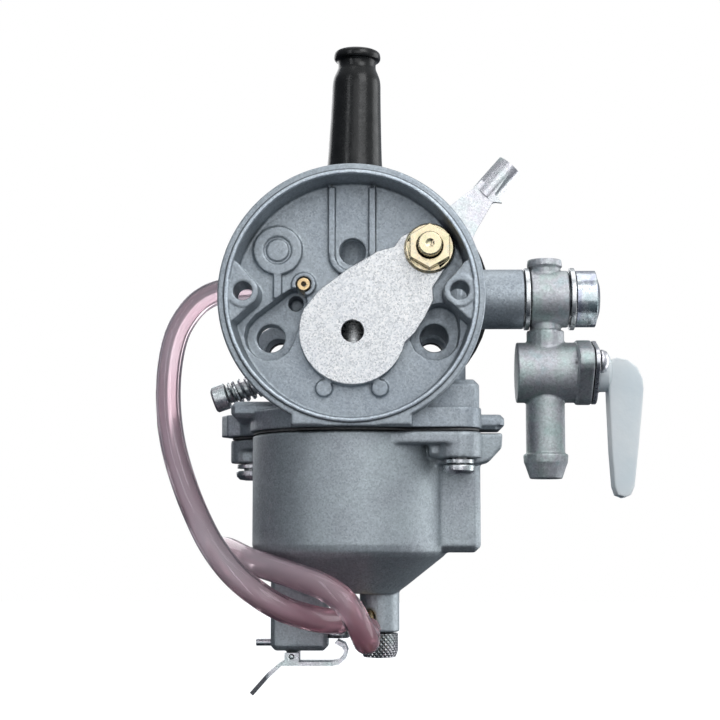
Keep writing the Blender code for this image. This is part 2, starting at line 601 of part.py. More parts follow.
def jets():
    tube = [(1.5, -8.35), (2.1, -8.35), (2.5, -9.4), (2.5, -34.6), (1.5, -34.6)]
    turned("needle_jet", tube, (0, SLIDE_Y, 0), (0, 0, 1), BRASS, steps=16, ring=True)
    main = [(0.6, -34.9), (2.5, -34.9), (2.5, -36.3), (3.1, -36.3), (3.1, -39.2), (0.6, -39.2)]
    turned("main_jet", main, (0, SLIDE_Y, 0), (0, 0, 1), BRASS, steps=12, ring=True)
    pilot = [(0.45, -20.0), (1.3, -20.0), (1.5, -24.0), (1.5, -29.6), (0.45, -29.6)]
    turned("pilot_jet", pilot, (-8.5, -30.0, 0), (0, 0, 1), BRASS, steps=12, ring=True)
    air = [(0.5, 0.0), (1.35, 0.0), (1.35, -5.0), (0.5, -5.0)]
    turned("air_jet", air, (-10.0, -42.0, 10.6), (0, -1, 0), BRASS, steps=16, ring=True)


# ---------------------------------------------------------------- throttle


def throttle():
    origin = (0, SLIDE_Y, SLIDE_LOW_Z)
    slide = rod("throttle_slide", origin, (0, SLIDE_Y, SLIDE_TOP_Z), SLIDE_R, ALLOY, sides=36)
    floor = -1.5
    cut(
        slide,
        rod("slide_hollow", (0, SLIDE_Y, floor), (0, SLIDE_Y, 20), SLIDE_R - 1.3, sides=32),
        rod("needle_hole", (0, SLIDE_Y, -12), (0, SLIDE_Y, 5), 1.45, sides=16),
        plate_x("air_cutaway", [(-33, -9), (-27.0, -9), (-33, -4.5)], -12, 12),
        block("key_groove", (-1.1, -13.6, -9), (1.1, -12.0, 18)),
        plate_y("stop_ramp", [(-10.5, -9), (-8.1, -9), (-8.1, -2.5), (-10.5, -1.0)], -24.2, -19.8),
        rod("cable_slot", (3.9, SLIDE_Y, -12), (3.9, SLIDE_Y, 2), 1.2, sides=12),
    )
    needle = [(0, 6.0), (1.2, 6.0), (1.2, -16.0), (0.6, -28.0), (0, -28.0)]
    turned("jet_needle", needle, (0, SLIDE_Y, 0), (0, 0, 1), STEEL, steps=12)
    clip = [(1.42, 2.2), (3.4, 2.2), (3.4, 1.6), (1.42, 1.6)]
    turned("needle_clip", clip, (0, SLIDE_Y, -2.8), (0, 0, 1), STEEL, steps=16, ring=True)
    foot = floor + GAP
    coil("slide_spring", 6.4, 0.5, 7, (0, SLIDE_Y, foot), (0, 0, 1), SPRING_TOP_Z - foot, STEEL, 10)


def top_cap():
    cap = [
        (0, CAP_TOP_Z + 2.0), (5.0, CAP_TOP_Z + 2.0), (5.4, CAP_TOP_Z), (12.6, CAP_TOP_Z),
        (13.6, CAP_TOP_Z - 0.9), (13.6, 27.6), (12.45, 27.6), (12.45, SPRING_TOP_Z + 0.2),
        (0, SPRING_TOP_Z + 0.2),
    ]
    cover = turned("mixing_chamber_cap", cap, (0, SLIDE_Y, 0), (0, 0, 1), CAST, steps=40)
    cut(cover, rod("cap_hole", (0, SLIDE_Y, 30), (0, SLIDE_Y, 42), 3.2, sides=20))
    screw = [(1.2, 54.0), (2.2, 54.0), (2.7, 53.2), (2.7, 33.5), (1.2, 33.5)]
    turned("cable_adjuster", screw, (0, SLIDE_Y, 0), (0, 0, 1), STEEL, steps=16, ring=True)
    low = CAP_TOP_Z + 2.0 + GAP
    nut = rod("adjuster_nut", (0, SLIDE_Y, low), (0, SLIDE_Y, low + 2.6), 4.6, STEEL, sides=6)
    cut(nut, rod("adjuster_nut_hole", (0, SLIDE_Y, 30), (0, SLIDE_Y, 50), 3.15, sides=16))
    boot = [
        (1.7, 27.0), (3.6, 27.0), (4.9, 26.7), (5.15, 25.6), (5.0, 24.6), (4.3, 23.6), (4.15, 22.6),
        (4.5, 21.4), (5.25, 19.6), (5.6, 10.0), (5.95, 2.0), (6.15, 0.0), (4.95, 0.0), (4.9, 5.6),
        (3.4, 8.0), (3.4, 21.0), (1.7, 23.0),
    ]
    turned("cable_boot", boot, (0.1, SLIDE_Y, BOOT_Z), (0.022, 0, 1), BLACK_RUBBER, steps=24, ring=True)


def stop_screw():
    direction = Vector((math.cos(STOP_TILT), 0, math.sin(STOP_TILT)))
    profile = [
        (0, 0.9), (0.5, 1.9), (2.5, 1.9), (2.9, 1.5), (2.9, -1.2), (2.3, -1.5), (1.85, -1.5),
        (1.85, -17.3), (0.6, -19.0), (0, -19.0),
    ]
    turned("throttle_stop_screw", profile, STOP_AT, -direction, STEEL, steps=24)
    start = Vector(STOP_AT) + direction * 1.75
    coil("stop_screw_spring", 2.45, 0.36, 6, start, direction, 8.4, STEEL, 10)


# ---------------------------------------------------------------- choke


def choke():
    px, pz = PIVOT
    cx, cz = PLATE_CENTRE
    outline = (
        arc((cx, cz), PLATE_R, 155, 348, 20)
        + [(12.9, 0.2), (15.1, 3.6), (16.8, 7.0), (16.6, 9.6), (17.9, 11.6)]
        + arc((px, pz), 5.15, -50, 134, 9)
        + [(10.2, 20.2), (8.8, 18.1), (5.2, 17.1), (-1.0, 13.4), (-6.7, 9.1)]
    )
    front, rear = PLATE_Y
    plate = plate_y("choke_plate", outline, front, rear, STEEL, at=PIVOT)
    cut(
        plate,
        rod("plate_relief", (cx, -46, cz), (cx, -40, cz), 2.35, sides=20),
        rod("plate_stud_hole", (px, -46, pz), (px, -40, pz), 2.75, sides=20),
    )
    stud = [
        (0, 3.4), (0.9, 4.1), (2.3, 4.1), (2.5, 3.7), (2.5, -10.05), (3.6, -10.05), (3.6, -10.95),
        (0, -10.95),
    ]
    turned("choke_shaft", stud, (px, -45.9, pz), (0, -1, 0), YELLOW, steps=20)
    nut = rod("choke_nut", (px, front - 0.55, pz), (px, front - 3.7, pz), 4.62, YELLOW, sides=6)
    join(nut, rod("nut_flange", (px, front - GAP, pz), (px, front - 1.1, pz), 5.3, sides=28, end_radius=4.9))
    cut(nut, rod("nut_hole", (px, -50, pz), (px, -42, pz), 2.75, sides=20))
    low, high = LEVER_Y
    blade = (
        arc((px, pz), 5.6, 70, 315, 10)
        + [(24.6, 19.4), (26.0, 22.6), (29.5, 28.6), (31.4, 28.4), (27.2, 33.4), (26.0, 32.0), (20.2, 27.6)]
    )
    lever = plate_y("choke_lever", blade, low, high, STEEL, at=PIVOT)
    join(lever, finger_tab())
    cut(lever, rod("lever_stud_hole", (px, -40, pz), (px, -34, pz), 2.75, sides=20))
    washer = [(2.75, 0.35), (4.6, 0.35), (4.6, 0.0), (2.75, 0.0)]
    turned("choke_washer", washer, (px, -36.1, pz), (0, -1, 0), STEEL, steps=20, ring=True)


def finger_tab():
    """The lever's rolled end: a sheet bent into a channel that runs along the lever."""
    along_tab = Vector((0.66, 0, 0.75)).normalized()
    across = Vector((0.75, 0, -0.66)).normalized()
    profile = arc((0, 0), 3.0, 200, 340, 8) + arc((0, 0), 2.1, 340, 200, 8)
    start = Vector((27.6, 0, 30.2))
    middle = (LEVER_Y[0] + LEVER_Y[1]) / 2 + 2.0
    tab = prism("finger_tab", profile, 0.0, 8.6)
    tab.location = (start + Vector((0, middle, 0))) * MM
    frame = Matrix((across, Vector((0, 1, 0)), along_tab)).transposed()
    tab.rotation_euler = frame.to_euler()
    return tab


# ---------------------------------------------------------------- fuel inlet and tap


def cover_outline(extra):
    """The tap's cover in Y and Z: a round with a screw lug in front and one behind, a little lower."""
    y, z = SLIDE_Y, BARREL_Z
    (_, front_y, front_z), (_, rear_y, rear_z) = TAP_SCREWS
    return (
        arc((y, z), 6.9 + extra, 62, 118, 5)
        + arc((y + front_y, z + front_z), 2.9 + extra, 112, 236, 6)
        + arc((y, z), 6.9 + extra, 242, 298, 5)
        + arc((y + rear_y, z + rear_z), 2.9 + extra, -68, 56, 6)
    )


def fuel_tap():
    y = SLIDE_Y
    at_x = {"inner": 37.05, "outer": 46.85}
    for side, x in at_x.items():
        ring = [(5.0, 1.0), (6.8, 1.0), (6.8, 0.0), (5.0, 0.0)]
        turned(f"banjo_washer_{side}", ring, (x, y, INLET_Z), (1, 0, 0), ALLOY, steps=28, ring=True)
    bolt = [
        (0, 5.2), (3.4, 5.15), (5.6, 4.4), (6.2, 4.3), (6.2, 0.0), (3.6, 0.0), (3.6, -16.6), (0, -16.6),
    ]
    head = turned("banjo_bolt", bolt, (48.1, y, INLET_Z), (1, 0, 0), STEEL, steps=24)
    hexagon = [
        (y + 7.2 * math.cos(math.radians(60 * i)), INLET_Z + 7.2 * math.sin(math.radians(60 * i)))
        for i in range(6)
    ]
    hex_tool = plate_x("bolt_hex", hexagon, 40.0, 56.0)
    keep = head.modifiers.new("hex_flats", "BOOLEAN")
    keep.operation = "INTERSECT"
    keep.object = hex_tool
    body = rod("fuel_tap_body", (38.35, y, INLET_Z), (46.55, y, INLET_Z), 6.2, CAST, sides=32)
    join(
        body,
        rod("tap_stem", (TAP_X, y, BARREL_Z), (TAP_X, y, 17.6), 3.4, sides=20),
        rod("tap_top", (TAP_X, y, 17.2), (TAP_X, y, 18.8), 3.9, sides=20, end_radius=3.7),
        rod("tap_neck", (TAP_X, y, 3.15), (TAP_X, y, BARREL_Z), 4.1, sides=20),
        rod("tap_barrel", (35.2, y, BARREL_Z), (50.0, y, BARREL_Z), 6.55, sides=32),
        plate_x("tap_flange", cover_outline(0.15), 48.0, 51.2),
        rod("tap_barb", (TAP_X - 0.2, y, BARREL_Z), (TAP_X - 0.2, y, -23.8), 4.2, sides=24),
        rod("tap_flare", (TAP_X - 0.2, y, -23.6), (TAP_X - 0.2, y, -25.5), 4.9, sides=24, end_radius=4.75),
        rod("tap_tip", (TAP_X - 0.2, y, -25.4), (TAP_X - 0.2, y, -28.9), 4.7, sides=24, end_radius=3.5),
    )
    cut(
        body,
        rod("banjo_bore", (36, y, INLET_Z), (48, y, INLET_Z), 4.6, sides=24),
        rod("barb_bore", (TAP_X - 0.2, y, -31), (TAP_X - 0.2, y, BARREL_Z + 2.0), 2.5, sides=16),
        rod("neck_bore", (TAP_X, y, BARREL_Z), (TAP_X, y, INLET_Z), 1.5, sides=12),
        rod("rotor_seat", (45.2, y, BARREL_Z), (53, y, BARREL_Z), 4.75, sides=24),
    )
    for name, sy, sz in TAP_SCREWS:
        at_y, at_z = y + sy, BARREL_Z + sz
        cut(body, rod(f"tap_thread_{name}", (47.5, at_y, at_z), (53, at_y, at_z), 0.95, sides=10))
    plate = plate_x("tap_cover_plate", cover_outline(0.0), 51.45, 52.35, STEEL)
    cut(plate, rod("plate_hole", (50, y, BARREL_Z), (54, y, BARREL_Z), 3.5, sides=20))
    for name, sy, sz in TAP_SCREWS:
        at_y, at_z = y + sy, BARREL_Z + sz
        cut(plate, rod(f"plate_thread_{name}", (50, at_y, at_z), (54, at_y, at_z), 1.0, sides=10))
        head = [(0, 1.9), (1.1, 1.8), (2.1, 1.3), (2.5, 0.5), (2.5, 0.0), (0.8, 0.0), (0.8, -4.0), (0, -4.0)]
        turned(f"tap_screw_{name}", head, (52.6, at_y, at_z), (1, 0, 0), STEEL, steps=16)
    seal = rod("tap_seal", (45.45, y, BARREL_Z), (47.05, y, BARREL_Z), 4.5, SEAL, sides=20)
    for number, port_z in enumerate((BARREL_Z + 2.6, BARREL_Z - 2.6)):
        cut(seal, rod(f"seal_port{number}", (44, y, port_z), (49, y, port_z), 0.9, sides=10))
    spring = [(3.5, 0.0), (4.45, 0.0), (4.45, -0.5), (3.5, -0.5)]
    turned("tap_wave_washer", spring, (51.1, y, BARREL_Z), (1, 0, 0), STEEL, steps=20, ring=True)


def tap_lever():
    """A nylon rotor, hub and bent grip in one, turning about the barrel."""
    y = SLIDE_Y
    lever = turned(
        "fuel_tap_lever",
        [(0, 2.9), (3.6, 2.9), (4.2, 2.4), (4.25, 0.35), (3.25, 0.2), (3.25, -2.2), (2.7, -2.4), (2.7, -2.8),
         (4.4, -3.0), (4.4, -5.2), (0, -5.2)],
        (52.5, y, BARREL_Z), (1, 0, 0), NYLON, steps=24,
    )
    grip = [
        (55.2, -3.4), (56.6, -2.9), (59.0, -3.4), (61.0, -5.0), (62.1, -7.4), (62.3, -9.6), (61.9, -14.0),
        (60.9, -23.0), (60.0, -30.6), (59.2, -32.4), (57.8, -33.0), (56.3, -32.4), (55.7, -30.6),
        (55.2, -23.0), (54.9, -14.0), (54.8, -9.8),
    ]
    blade = plate_y("tap_grip", grip, y - 3.2, y + 3.2)
    soften = blade.modifiers.new("round", "BEVEL")
    soften.width = 0.9 * MM
    soften.segments = 2
    soften.limit_method = "ANGLE"
    soften.angle_limit = math.radians(50)
    return join(lever, blade)


# ---------------------------------------------------------------- under the bowl


def drain_gear():
    bx, by = BOSS_AT
    top = BOSS_BOTTOM_Z - GAP
    plug = [
        (0, 7.5), (1.9, 7.5), (1.9, 0.0), (3.9, 0.0), (3.9, -3.6), (3.4, -5.0), (1.6, -5.2),
        (1.6, -4.2), (0, -4.2),
    ]
    turned("drain_plug", plug, (bx, by, top), (0, 0, 1), STEEL, steps=24)
    px, py, pz = LEVER_PIVOT
    strip = block("drain_lever", (-14.9, py - 3.7, -68.4), (-4.4, py + 3.7, -67.6), STEEL, origin=LEVER_PIVOT)
    finger = [
        (-14.7, -67.6), (-15.5, -67.7), (-18.5, -70.2), (-21.9, -74.0), (-21.2, -74.6), (-17.9, -70.9),
        (-15.2, -68.4), (-14.7, -68.4),
    ]
    hook = [
        (-4.6, -68.4), (-3.0, -68.1), (-1.6, -66.8), (-1.2, -65.2), (-1.8, -63.8), (-3.4, -63.05),
        (-4.0, -63.7), (-2.5, -64.5), (-2.0, -65.3), (-2.3, -66.4), (-3.3, -67.3), (-4.6, -67.6),
    ]
    join(
        strip,
        plate_y("lever_finger", finger, py - 3.7, py + 3.7),
        plate_y("lever_hook", hook, py - 3.7, py + 3.7),
        block("lever_ear_front", (px - 1.5, py - 3.7, -68.0), (px + 1.5, py - 2.8, -65.7)),
        block("lever_ear_rear", (px - 1.5, py + 2.8, -68.0), (px + 1.5, py + 3.7, -65.7)),
    )
    cut(strip, rod("lever_pin_hole", (px, py - 6, pz), (px, py + 6, pz), 0.6, sides=12))
    rod("drain_lever_pin", (px, py - 4.1, pz), (px, py + 4.1, pz), 0.42, STEEL, sides=12)
    rod("lever_stop_pin", (-20.9, -22.3, STOP_PIN_Z), (-14.6, -22.3, STOP_PIN_Z), 0.75, STEEL, sides=12)
    button = [
        (0, 11.8), (2.0, 11.8), (2.0, 11.3), (0.9, 11.25), (0.9, 1.3), (1.7, 1.0), (3.1, 0.5),
        (3.1, -0.9), (2.4, -1.55), (0, -1.55),
    ]
    turned("drain_plunger", button, (*BUTTON_AT, BUTTON_Z), (0, 0, 1), STEEL, steps=20)
    ring = [(1.15, 0.6), (2.2, 0.6), (2.2, 0.0), (1.15, 0.0)]
    turned("plunger_seal", ring, (*BUTTON_AT, BOWL_FLOOR_Z + GAP), (0, 0, 1), SEAL, steps=16, ring=True)
    length = BOWL_LOW_Z - GAP - (BUTTON_Z + 1.3)
    coil("plunger_spring", 1.7, 0.22, 5, (*BUTTON_AT, BUTTON_Z + 1.3), (0, 0, 1), length, STEEL, 8)


# ---------------------------------------------------------------- hoses and nipples


def along(start, end, distance):
    """A point this far from the start of a line towards its end."""
    start, end = Vector(start), Vector(end)
    return start + (end - start).normalized() * distance


def hoses():
    for name, (start, end) in NIPPLES.items():
        rod(name, along(start, end, 0.3), end, 1.05 if name != "vent_nipple" else 1.7, BRASS, sides=12)
    for name, (route, count) in HOSES.items():
        wire(name, smooth_route(route, count), HOSE_R, HOSE, resolution=2)


def heat_shield():
    """The black insulator between carburetor and engine, with a lobe that shades the fuel inlet."""
    shield = rod("heat_insulator", (6.6, -3.0, 13.4), (6.6, 0, 13.4), 24.2, PHENOLIC, sides=48)
    join(
        shield,
        plate_y("insulator_left", slot_outline((-BOLT_X, 0), 5.9, (0, 0), 12.6, 10), -3.0, 0.0),
        plate_y("insulator_right", slot_outline((BOLT_X, 0), 5.9, (0, 0), 12.6, 10), -3.0, 0.0),
    )
    return cut(
        shield,
        rod("insulator_bore", (0, -6, 0), (0, 3, 0), BORE_R, sides=36),
        rod("insulator_bolt_left", (-BOLT_X, -6, 0), (-BOLT_X, 3, 0), BOLT_HOLE_R),
        rod("insulator_bolt_right", (BOLT_X, -6, 0), (BOLT_X, 3, 0), BOLT_HOLE_R),
    )


def main():
    for thing in list(bpy.data.objects):
        bpy.data.objects.remove(thing, do_unlink=True)
    for group in (PARTS, CUTTERS):
        bpy.context.scene.collection.children.link(group)
    carb_body()
    float_bowl()
    bowl_gasket()
    bowl_screw("front", SCREW_FRONT)
    bowl_screw("rear", SCREW_REAR)
    float_pieces()
    jets()
    throttle()
    top_cap()
    stop_screw()
    choke()
    fuel_tap()
    tap_lever()
    drain_gear()
    hoses()
    heat_shield()


main()
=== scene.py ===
"""Looks for the slide-valve carburetor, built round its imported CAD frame. Everything is in metres."""

import json
import math

import bmesh
import bpy
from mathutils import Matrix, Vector


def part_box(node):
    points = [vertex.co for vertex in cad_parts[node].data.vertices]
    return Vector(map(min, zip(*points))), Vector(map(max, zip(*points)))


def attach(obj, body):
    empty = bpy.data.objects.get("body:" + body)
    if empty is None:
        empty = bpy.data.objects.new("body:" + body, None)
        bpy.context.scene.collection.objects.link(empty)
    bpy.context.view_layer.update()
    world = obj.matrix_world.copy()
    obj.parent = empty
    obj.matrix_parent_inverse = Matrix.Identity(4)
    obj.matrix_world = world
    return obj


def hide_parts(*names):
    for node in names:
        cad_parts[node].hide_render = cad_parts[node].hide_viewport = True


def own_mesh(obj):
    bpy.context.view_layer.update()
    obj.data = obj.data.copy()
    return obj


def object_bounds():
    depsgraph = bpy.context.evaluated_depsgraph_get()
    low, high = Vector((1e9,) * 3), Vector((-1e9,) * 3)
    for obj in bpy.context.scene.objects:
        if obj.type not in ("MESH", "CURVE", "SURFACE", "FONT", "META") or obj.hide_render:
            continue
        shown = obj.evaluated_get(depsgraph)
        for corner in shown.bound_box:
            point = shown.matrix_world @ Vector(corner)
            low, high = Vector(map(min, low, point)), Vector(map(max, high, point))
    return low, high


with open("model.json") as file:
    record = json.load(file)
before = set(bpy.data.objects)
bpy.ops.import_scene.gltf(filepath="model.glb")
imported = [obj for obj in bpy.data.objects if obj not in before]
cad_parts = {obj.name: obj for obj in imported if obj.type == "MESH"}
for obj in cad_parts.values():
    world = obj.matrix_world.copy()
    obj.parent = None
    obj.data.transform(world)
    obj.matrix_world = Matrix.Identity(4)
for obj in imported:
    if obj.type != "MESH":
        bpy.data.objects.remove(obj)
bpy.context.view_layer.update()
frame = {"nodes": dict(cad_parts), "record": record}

MM = 0.001
BODY_OF = {node: body for body, nodes in frame["record"]["behaviour"]["bodies"].items() for node in nodes}

# Camera: where it stands, and its turn and tilt in degrees
CAMERA_AT = (0.0082, -0.379, -0.04245)
CAMERA_TURN = 1.11
CAMERA_TILT = 6.3
CAMERA_LENS = 82.5
FLOOR_DROP = 0.09
TENT_LEAN = (0.50, -0.20, 0.84)
TENT_TONES = ((0.20, (0.03, 0.035, 0.045)), (0.50, (0.22, 0.24, 0.27)), (0.85, (0.62, 0.65, 0.68)))

SLIDE_Y = -0.022

# Turned faces of the castings, in millimetres: axis point, axis, (height, radius) pairs, and CAD sides
ROUND_SLACK = 0.035
TURNED_FACES = {
    "float_bowl": (
        ((-0.6, -25.0, 0.0), (0, 0, 1), ((-52.0, 11.43), (-45.7, 19.39)), 48),
        ((-0.6, -25.0, 0.0), (0, 0, 1), ((-43.1, 21.0), (-20.2, 21.0)), 48),
        ((5.5, -25.0, 0.0), (0, 0, 1), ((-61.1, 4.2), (-52.0, 4.2)), 20),
    ),
    "carb_body": (
        ((0.0, 0.0, 7.35), (0, -1, 0), ((39.2, 26.41), (46.0, 27.1), (48.2, 27.2)), 48),
        ((0.0, 0.0, 7.35), (0, -1, 0), ((41.3, 24.52), (48.8, 25.05)), 48),
        ((0.0, -22.0, 10.2), (1, 0, 0), ((25.0, 6.5), (36.6, 6.5)), 32),
        ((0.0, -22.0, 0.0), (0, 0, 1), ((16.0, 12.2), (31.8, 12.2)), 32),
    ),
    "fuel_tap_body": (
        ((0.0, -22.0, 10.2), (1, 0, 0), ((38.6, 6.2), (46.3, 6.2)), 32),
        ((0.0, -22.0, -5.9), (1, 0, 0), ((35.4, 6.55), (47.8, 6.55)), 32),
        ((41.4, -22.0, 0.0), (0, 0, 1), ((-23.4, 4.2), (-11.8, 4.2)), 24),
        ((41.6, -22.0, 0.0), (0, 0, 1), ((16.0, 3.4), (17.1, 3.4)), 20),
    ),
}
BOOT_LEAN = (0.022, 0.0, 1.0)

# Painted places, in metres
CUP_HEIGHT = 0.00735
LIP_RADII = (0.0249, 0.0269)  # the cup's machined lip and the painted step shadow round it lie between them
LIP_DEPTHS = (-0.0484, -0.0479)  # along Y: the lip's colour is full before the first, gone past the second
FINGER_DARKENS = (-0.0186, -0.0176)  # along X: the drain lever's finger has painted shade before the first
PLUG_AT = (0.0055, -0.025)
KNURL_TEETH = 24.0
KNURL_WAVE = 6000.0  # radians of knurl for each metre of height

# Hoses, in metres, but each one's route is in millimetres
HOSE_DIAMETER = 0.0054
HOSE_SPANS = 132
STAIN_HEIGHTS = (-0.064, -0.046)  # reddest below the first, clear above the second
HOSE_ROUTES = {
    "vent_hose": [
        (-19.95, -22.0, 12.9), (-24.7, -22.0, 12.8), (-30.1, -22.2, 11.8), (-33.9, -22.5, 9.7),
        (-36.5, -23.0, 6.6), (-38.4, -23.7, 2.8), (-39.5, -24.5, -2.0), (-40.0, -25.4, -8.0),
        (-39.7, -26.6, -14.6), (-38.5, -28.0, -21.6), (-36.3, -29.9, -28.6), (-33.2, -32.7, -35.8),
        (-29.2, -36.8, -42.8), (-24.3, -41.0, -48.6), (-18.9, -43.1, -52.9), (-14.2, -42.5, -55.7),
        (-10.0, -40.3, -57.3), (-6.2, -36.5, -58.4), (-2.9, -31.55, -58.8),
    ],
    "drain_hose": [
        (-9.35, -5.2, -48.6), (-13.5, -5.2, -48.4), (-18.2, -6.0, -47.7), (-22.8, -8.2, -46.5),
        (-26.4, -11.6, -45.2), (-28.3, -16.2, -44.3), (-28.3, -20.8, -44.0), (-26.8, -25.2, -44.2),
        (-25.0, -29.3, -44.8), (-23.0, -33.3, -45.6), (-20.3, -37.2, -46.6), (-15.8, -41.0, -47.9),
        (-10.2, -44.6, -49.6), (-6.2, -46.8, -51.0), (-2.7, -48.3, -53.0), (-0.2, -48.6, -55.6),
        (1.4, -46.9, -58.6), (2.5, -43.6, -61.1), (2.9, -39.8, -62.4), (3.0, -36.0, -62.2),
        (3.1, -31.95, -60.4),
    ],
}


# ---------------------------------------------------------------- camera, floor and light


def aim(thing, target):
    thing.rotation_euler = (Vector(target) - thing.location).to_track_quat("-Z", "Y").to_euler()


def make_camera():
    data = bpy.data.cameras.new("camera")
    data.lens = CAMERA_LENS
    data.sensor_width = 36.0
    data.clip_start = 0.01
    camera = bpy.data.objects.new("camera", data)
    bpy.context.scene.collection.objects.link(camera)
    camera.location = CAMERA_AT
    turn, tilt = math.radians(CAMERA_TURN), math.radians(CAMERA_TILT)
    forward = Vector((-math.sin(turn) * math.cos(tilt), math.cos(turn) * math.cos(tilt), math.sin(tilt)))
    aim(camera, camera.location + forward)
    bpy.context.scene.camera = camera


def area_light(name, at, size, power, tint=(1.0, 1.0, 1.0)):
    data = bpy.data.lights.new(name, "AREA")
    data.shape = "RECTANGLE"
    data.size, data.size_y = size
    data.energy = power
    data.color = tint
    light = bpy.data.objects.new(name, data)
    bpy.context.scene.collection.objects.link(light)
    light.location = at
    low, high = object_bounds()
    aim(light, (low + high) / 2)


def studio_world():
    """A soft tent: bright above and right, dark below and left, and white where the camera looks."""
    world = bpy.data.worlds.new("studio")
    bpy.context.scene.world = world
    world.use_nodes = True
    nodes, links = world.node_tree.nodes, world.node_tree.links
    place = nodes.new("ShaderNodeTexCoord")
    lean = nodes.new("ShaderNodeVectorMath")
    lean.operation = "DOT_PRODUCT"
    lean.inputs[1].default_value = TENT_LEAN
    links.new(place.outputs["Generated"], lean.inputs[0])
    height = nodes.new("ShaderNodeMapRange")
    height.inputs["From Min"].default_value = -1.0
    links.new(lean.outputs["Value"], height.inputs["Value"])
    ramp = nodes.new("ShaderNodeValToRGB")
    marks = ramp.color_ramp.elements
    marks.new(0.5)
    for mark, (at, tone) in zip(marks, TENT_TONES):
        mark.position = at
        mark.color = (*tone, 1.0)
    links.new(height.outputs[0], ramp.inputs[0])
    seen = nodes.new("ShaderNodeLightPath")
    mix = nodes.new("ShaderNodeMix")
    mix.data_type = "RGBA"
    mix.inputs[7].default_value = (1.0, 1.0, 1.0, 1.0)
    links.new(seen.outputs["Is Camera Ray"], mix.inputs[0])
    links.new(ramp.outputs[0], mix.inputs[6])
    links.new(mix.outputs[2], nodes["Background"].inputs["Color"])


def make_floor():
    low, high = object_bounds()
    mesh = bpy.data.meshes.new("floor")
    side, z = 3.0, low.z - FLOOR_DROP
    corners = [(-side, -side, z), (side, -side, z), (side, side, z), (-side, side, z)]
    mesh.from_pydata(corners, [], [(0, 1, 2, 3)])
    floor = bpy.data.objects.new("floor", mesh)
    bpy.context.scene.collection.objects.link(floor)
    look = Look("floor_white", Roughness=0.9)
    tone = look.ramp(look.noise(6.0), (0.3, (0.90, 0.91, 0.92)), (0.7, (0.93, 0.93, 0.93)))
    look.paint("Base Color", tone)
    look.set(Emission_Color=(1.0, 1.0, 1.0, 1.0), Emission_Strength=0.75)
    floor.visible_diffuse = False
    floor.visible_glossy = False
    floor.visible_transmission = False
    floor.data.materials.append(look.material)


def make_studio():
    make_camera()
    studio_world()
    area_light("key", (0.26, -0.42, 0.34), (0.30, 0.30), 1.0, (0.98, 0.99, 1.0))
    area_light("front", (0.10, -0.80, 0.10), (0.50, 0.60), 1.0, (0.98, 0.99, 1.0))
    area_light("top", (0.0, 0.0, 0.55), (0.45, 0.45), 0.8)
    area_light("side", (0.45, 0.10, -0.02), (0.30, 0.60), 1.2, (0.97, 0.99, 1.0))
    area_light("strip", (-0.26, -0.40, 0.10), (0.05, 0.50), 0.30, (0.96, 0.98, 1.0))
    area_light("rim", (-0.25, 0.45, 0.20), (0.40, 0.40), 0.9)
    bpy.context.scene.view_settings.view_transform = "Standard"


# ---------------------------------------------------------------- materials


